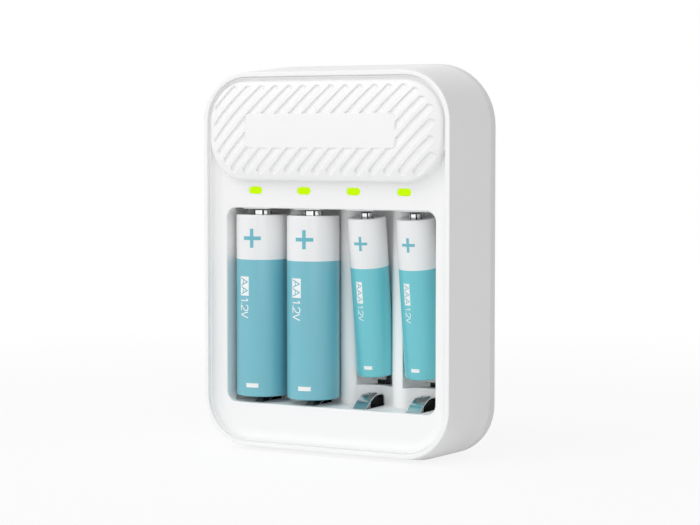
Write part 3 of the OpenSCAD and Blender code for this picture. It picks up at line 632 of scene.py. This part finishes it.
aaCell = {"r": 7.1, "body": 49.3, "nubR": 2.6, "nub": 1.2, "d": 8.4, "low": 13.3, "lean": 0.0,
          "finish": aaSleeve, "slot": "large_cell", "plusH": 43.0, "plusArm": 2.55, "plusW": 1.0,
          "minusH": 3.1, "minusW": 3.6, "minusT": 1.15, "letters": "AA", "tagAt": -2.45, "tagW": 3.0,
          "tagTop": 32.6, "tagLow": 27.4, "glyph": 2.1}
aaaCell = {"r": 5.15, "body": 42.7, "nubR": 1.6, "nub": 1.2, "d": 14.5, "low": 20.1, "lean": 7.4,
           "finish": aaaSleeve, "slot": "small_cell", "plusH": 36.25, "plusArm": 1.9, "plusW": 0.75,
           "minusH": 2.7, "minusW": 2.4, "minusT": 0.95, "letters": "AAA", "tagAt": -1.2, "tagW": 1.9,
           "tagTop": 26.0, "tagLow": 20.2, "glyph": 1.6}
# the nubs carry painted reflection stripes
aaCell["nubFinish"] = nubFinish("large cell nub painted reflection", aaCell["r"], nubReflection["aaBright"])
aaaCell["nubFinish"] = nubFinish("small cell nub painted reflection", aaaCell["r"], nubReflection["aaaBright"])
# folds and foot hold (share of the radius, height), the collar (step out from the nub, height over the top)
cellForm = {"sides": 96, "arc": 6, "fold": 0.5, "knobEdge": 0.12,
            "footFold": [[0.74, 0.3], [0.76, 0.08], [0.8, 0]],
            "topFold": [[0.74, 0], [0.71, -0.06], [0.7, -0.2]],
            "foot": [[0, 0.18], [0.6, 0.18], [0.74, 0.3]],
            "collar": [[0.5, -0.25], [0.1, -0.2], [0, -0.1]]}
paints = {"sleeve": 0, "metal": 1, "washer": 2, "teal": 3, "white": 4, "nub": 5}
inkForm = {"steps": 8, "rows": 9, "lift": 0.02, "crossLift": 0.024, "tagLift": 0.04, "sunk": 0.06}
tagForm = {"margin": 0.25, "lead": 0.08, "wide": 0.84, "tall": 0.78, "stroke": 0.09, "volts": "1.2V",
           "voltGap": 0.4, "voltAt": [0.0, 0.55, 1.0, 1.9], "voltWide": 0.75, "voltTall": 0.84}


def onCell(kind, x, r, angle, z):
    # point at a radius, an angle round from the front and a height up the cell, leaned about its foot
    side, fore = r * np.sin(angle), -r * np.cos(angle)
    lean = math.radians(kind["lean"])
    return toFrame(x + side, kind["d"] + fore * math.cos(lean) - z * math.sin(lean),
                   kind["low"] + fore * math.sin(lean) + z * math.cos(lean))


def turned(kind, x, profile, paint):
    # profile of (radius, height) spun about the cell's axis, its seam at the back
    profile = np.array(profile, float)
    angle = np.linspace(-np.pi, np.pi, cellForm["sides"] + 1)[None, :]
    r, z = profile[:, :1], profile[:, 1:]
    uv = np.stack(np.broadcast_arrays(angle * kind["r"], z + 0 * angle), -1) * mesher["uv"]
    return surface(onCell(kind, x, r, angle, z), paint=paints[paint], uv=uv)


def ink(kind, x, path, width, paint, lift=inkForm["lift"]):
    # printed stroke: a band along a path of (across, up) points, wrapped round the sleeve
    path = np.array(path, float)
    way = np.linspace(0, len(path) - 1, inkForm["steps"] * (len(path) - 1) + 1)
    u, v = (np.interp(way, np.arange(len(path)), path[:, n]) for n in (0, 1))
    du, dv = np.gradient(u), np.gradient(v)
    size = np.hypot(du, dv)
    across = np.linspace(-width / 2, width / 2, inkForm["rows"])[None, :]
    u = u[:, None] - (dv / size)[:, None] * across
    v = v[:, None] + (du / size)[:, None] * across
    angle = math.radians(kind["face"]) + u / kind["r"]
    top, low = (onCell(kind, x, kind["r"] + r, angle, v) for r in (lift, -inkForm["sunk"]))
    return slab(top, low, paints[paint])


# letter strokes in a box one wide and one high
glyphs = {"A": [[[0, 0], [0.5, 1], [1, 0]], [[0.2, 0.36], [0.8, 0.36]]],
          "1": [[[0.25, 0.78], [0.6, 1], [0.6, 0]]],
          ".": [[[0.35, 0.0], [0.35, 0.12]]],
          "V": [[[0, 1], [0.5, 0], [1, 1]]],
          "2": [[[0, 0.76], [0.15, 0.95], [0.5, 1], [0.85, 0.95], [1, 0.74], [0.85, 0.5], [0, 0], [1, 0]]]}


def word(kind, x, letters, start, pitch, wide, tall, stroke, paint, lift):
    # letters read down the cell: each runs down from its start and stands up to the right
    parts = []
    for letter, at in zip(letters, start - pitch):
        for path in glyphs[letter]:
            path = np.array(path, float)
            turn = np.stack([kind["tagAt"] + (path[:, 1] - 0.5) * tall, at - path[:, 0] * wide], -1)
            parts += ink(kind, x, turn, stroke, paint, lift)
    return parts


def makeCell(name, kind, x):
    # sleeve folded over both ends, washer, nub and foot, with plus and minus marks
    r, top, nub, fold, edge = kind["r"], kind["body"], kind["nubR"], cellForm["fold"], cellForm["knobEdge"]
    tip = top + kind["nub"]
    turn = np.linspace(0, np.pi / 2, cellForm["arc"])
    low = np.stack([r - fold + fold * np.sin(turn), fold - fold * np.cos(turn)], -1)
    high = np.stack([r - fold + fold * np.cos(turn), top - fold + fold * np.sin(turn)], -1)
    knob = np.stack([nub - edge + edge * np.cos(turn), tip - edge + edge * np.sin(turn)], -1)
    folded = np.concatenate([np.array(cellForm["footFold"]) * [r, 1], low, high,
                             np.array(cellForm["topFold"]) * [r, 1] + [0, top]])
    collar = np.array(cellForm["collar"]) + [nub, top]
    parts = [turned(kind, x, folded, "sleeve"),
             turned(kind, x, np.array(cellForm["foot"]) * [r, 1], "metal"),
             turned(kind, x, [folded[-1], collar[0]], "washer"),
             turned(kind, x, np.concatenate([collar, knob, [[0, tip]]]), "nub")]
    arm, at = kind["plusArm"], kind["plusH"]
    parts += ink(kind, x, [[-arm, at], [arm, at]], kind["plusW"], "teal")
    parts += ink(kind, x, [[0, at - arm], [0, at + arm]], kind["plusW"], "teal", inkForm["crossLift"])
    half, at = kind["minusW"] / 2, kind["minusH"]
    parts += ink(kind, x, [[-half, at], [half, at]], kind["minusT"], "white")
    # size tag: white box with the letters in the sleeve's colour, and the voltage below it
    tag, top, low, letters = kind["tagAt"], kind["tagTop"], kind["tagLow"], kind["letters"]
    width, size, stroke = kind["tagW"], kind["glyph"], kind["tagW"] * tagForm["stroke"]
    step = (top - low - 2 * tagForm["margin"]) / len(letters)
    parts += ink(kind, x, [[tag, top], [tag, low]], width, "white")
    parts += word(kind, x, letters, top - tagForm["margin"] - step * tagForm["lead"],
                  step * np.arange(len(letters)), step * tagForm["wide"], width * tagForm["tall"], stroke,
                  "teal", inkForm["tagLift"])
    parts += word(kind, x, tagForm["volts"], low - tagForm["voltGap"], size * np.array(tagForm["voltAt"]),
                  size * tagForm["voltWide"], width * tagForm["voltTall"], stroke, "white", inkForm["lift"])
    addPiece(name + "_wrap", parts, [kind["finish"], chrome, washer, inkTeal, inkWhite, kind["nubFinish"]],
             stands=[name])


for name, kind, x, face in (("aa_cell_1", aaCell, -24.0, 7.0), ("aa_cell_2", aaCell, -8.0, 9.4),
                            ("aaa_cell_1", aaaCell, 8.0, 4.2), ("aaa_cell_2", aaaCell, 22.5, 0.2)):
    makeCell(name, {**kind, "face": face}, x)
print("cells made")

leaf = {"w": 4.0, "t": 0.35, "pitch": 16.0, "aaPress": 2.225, "aaaPress": 1.3, "bossD": 12.3, "bossR": 1.4,
        "boss": 0.25, "bossEdge": 0.3, "level": 0.9, "away": 9.0, "rounds": 3, "cut": 0.2, "steps": 150,
        "columns": 31, "inner": 0.97, "thinFrom": 0.98, "thin": 0.6,
        "aa": [[5.025, 11.5], [7.3, 13.3], [10.6, 14.8], [14.4, 14.8], [15.2, 14.0], [15.2, 3.9]],
        "aaa": [[16.175, 19.672], [17.175, 21.272], [18.575, 21.272], [19.175, 20.672], [19.175, 3.9]]}


def makeLeaf(kind, i, down):
    # bent strip: corners of the path are cut a few times, the skins lie half a thickness off the path,
    # the lower one is painted dark as painted shade, and the large cells' strips carry a round pressed boss
    # on their level part
    path = np.array(leaf[kind])
    less, more = leaf["cut"], 1 - leaf["cut"]
    for _ in range(leaf["rounds"]):
        pair = [path[:-1] * more + path[1:] * less, path[:-1] * less + path[1:] * more]
        path = np.concatenate([path[:1], np.stack(pair, 1).reshape(-1, 2), path[-1:]])
    length = np.concatenate([[0], np.cumsum(np.hypot(*np.diff(path, axis=0).T))])
    way = np.linspace(0, length[-1], leaf["steps"])
    d, h = (np.interp(way, length, path[:, n]) for n in (0, 1))
    dd, dh = np.gradient(d, way), np.gradient(h, way)
    size = np.hypot(dd, dh)
    nd, nh = (-dh / size)[:, None], (dd / size)[:, None]
    inner = np.linspace(-leaf["inner"], leaf["inner"], leaf["columns"])
    share = np.concatenate([[-1], inner, [1]])[None, :]
    across = share * leaf["w"] / 2
    thin = np.where(np.abs(share) > leaf["thinFrom"], leaf["thin"], 1.0) * leaf["t"] / 2
    lift = np.zeros((leaf["steps"], share.size))
    if kind == "aa":
        far = np.hypot(across, d[:, None] - leaf["bossD"]) + leaf["away"] * (nh < leaf["level"])
        lift = leaf["boss"] * np.clip((leaf["bossR"] - far) / leaf["bossEdge"], 0, 1)
    x = (i - bays["middle"]) * leaf["pitch"] + across
    skins = [toFrame(x, d[:, None] + nd * off, h[:, None] + nh * off - down)
             for off in (lift + thin, lift - thin)]
    name = f"{kind}_contact_{i + 1}"
    parts = slab(*skins)
    # the lower skin takes the painted shade
    parts[1]["paint"] = 1
    addPiece(name + "_spring", parts, [springSteel, paintedShadeSteel], body=name + "_leaf",
             stands=[name])


# large cells press the strips of the two bays on the left, small cells those on the right
for i in range(bays["count"]):
    makeLeaf("aa", i, leaf["aaPress"] if i < bays["middle"] else 0.0)
    makeLeaf("aaa", i, leaf["aaaPress"] if i > bays["middle"] else 0.0)
print("contacts made")

dressNode("battery_tray", whiteTray)
for i in range(bays["count"]):
    dressNode(f"positive_contact_{i + 1}", springSteel, smooth=False)
dressNode("circuit_board", greenBoard)
dressNode("charge_controller", darkPart, smooth=False)
dressNode("inductor", darkPart, smooth=False)
dressNode("capacitors", canFinish)
dressNode("status_leds", lampBody, smooth=False)
dressNode("inlet_shell", chrome)
dressNode("inlet_tongue", darkPart, smooth=False)
dressNode("negative_bus", brassBus, smooth=False)
dressNode("case_screws", steelScrew)
dressNode("board_screws", steelScrew)
print("inner parts dressed")

studio = {"white": (0.94, 0.94, 0.94, 1.0), "level": 0.48, "lean": 0.58, "toward": (-0.52, -0.72, 0.47),
          "floorSize": 1.6, "floorSides": 96, "floorDrop": 0.0001, "floorRough": 0.9, "floorGlow": 0.86,
          "fadeFrom": 0.12, "fadeTo": 0.4}
lampRig = {"key softbox": {"at": (-0.5, -0.8, 1.05), "aim": (0, 0, 0.05), "size": 0.9, "power": 2.8},
           "right fill": {"at": (0.72, -1.1, 0.2), "aim": (0, 0, 0.05), "size": 0.8, "power": 2.0}}


def seenDirectly(add):
    # 1 where the camera, a mirror or glass looks at the surface
    rays = add("ShaderNodeLightPath").outputs
    first = [(0, rays["Is Camera Ray"]), (1, rays["Is Glossy Ray"])]
    plain = add("ShaderNodeMath", first, operation="MAXIMUM").outputs[0]
    second = [(0, plain), (1, rays["Is Transmission Ray"])]
    return add("ShaderNodeMath", second, operation="MAXIMUM").outputs[0]


def makeStudio():
    # pale round floor that fades to white away from the object, white surroundings and the softboxes
    turn = np.linspace(0, 2 * np.pi, studio["floorSides"], endpoint=False)
    ring = np.stack([np.cos(turn), np.sin(turn), 0 * turn], -1) * studio["floorSize"]
    ring[:, 2] = -studio["floorDrop"]
    mesh = bpy.data.meshes.new("floor")
    mesh.from_pydata(ring.tolist(), [], [list(range(len(ring)))])
    floor = bpy.data.objects.new("floor", mesh)
    scene.collection.objects.link(floor)
    material, tree, shader, add = newMaterial("pale floor")
    shader.inputs["Base Color"].default_value = studio["white"]
    shader.inputs["Roughness"].default_value = studio["floorRough"]
    shader.inputs["Specular IOR Level"].default_value = 0.0
    coords = add("ShaderNodeTexCoord").outputs["Object"]
    far = add("ShaderNodeVectorMath", [(0, coords)], operation="LENGTH").outputs["Value"]
    fade = add("ShaderNodeMapRange", [("Value", far)], interpolation_type="SMOOTHSTEP")
    fade.inputs["From Min"].default_value = studio["fadeFrom"]
    fade.inputs["From Max"].default_value = studio["fadeTo"]
    fade.inputs["To Min"].default_value = studio["floorGlow"]
    lit, glow = shader.outputs["BSDF"], add("ShaderNodeEmission").outputs["Emission"]
    mix = add("ShaderNodeMixShader", [(0, fade.outputs["Result"]), (1, lit), (2, glow)])
    seen = add("ShaderNodeMixShader", [(0, seenDirectly(add)), (1, lit), (2, mix.outputs["Shader"])])
    tree.links.new(seen.outputs["Shader"], tree.nodes["Material Output"].inputs["Surface"])
    mesh.materials.append(material)

    world = bpy.data.worlds.new("white surroundings")
    scene.world = world
    world.use_nodes = True
    tree, add = nodeMaker(world)
    # soft light from all round, stronger towards one side: level plus lean times the cosine to that side
    soft = tree.nodes["Background"]
    soft.inputs["Color"].default_value = (1, 1, 1, 1)
    way = add("ShaderNodeTexCoord").outputs["Generated"]
    along = add("ShaderNodeVectorMath", [(0, way)], operation="DOT_PRODUCT")
    along.inputs[1].default_value = studio["toward"]
    level = add("ShaderNodeMath", [(0, along.outputs["Value"])], operation="MULTIPLY_ADD")
    level.inputs[1].default_value = studio["lean"]
    level.inputs[2].default_value = studio["level"]
    tree.links.new(level.outputs[0], soft.inputs["Strength"])
    bright = add("ShaderNodeBackground")
    bright.inputs["Color"].default_value = (1, 1, 1, 1)
    bright.inputs["Strength"].default_value = 1.0
    mix = add("ShaderNodeMixShader", [(0, seenDirectly(add)), (1, soft.outputs[0]), (2, bright.outputs[0])])
    tree.links.new(mix.outputs[0], tree.nodes["World Output"].inputs["Surface"])

    for name, rig in lampRig.items():
        light = bpy.data.lights.new(name, "AREA")
        light.size = rig["size"]
        light.energy = rig["power"]
        lamp = bpy.data.objects.new(name, light)
        lamp.location = rig["at"]
        lamp.rotation_euler = (Vector(rig["aim"]) - Vector(rig["at"])).to_track_quat("-Z", "Y").to_euler()
        scene.collection.objects.link(lamp)


view = {"at": (0.26505, -0.474617, 0.084424), "look": (-0.48389, 0.87296, -0.06149), "lens": 104.37,
        "sensor": 36.0, "near": 0.01}


def makeCamera():
    # long lens a little above the middle, to the right of the front
    lens = bpy.data.cameras.new("photo camera")
    lens.sensor_fit = "HORIZONTAL"
    lens.sensor_width = view["sensor"]
    lens.lens = view["lens"]
    lens.clip_start = view["near"]
    camera = bpy.data.objects.new("photo camera", lens)
    camera.location = view["at"]
    camera.rotation_euler = Vector(view["look"]).to_track_quat("-Z", "Y").to_euler()
    scene.collection.objects.link(camera)
    scene.camera = camera


makeStudio()
makeCamera()
scene.view_settings.view_transform = "Standard"
print("studio and camera set")
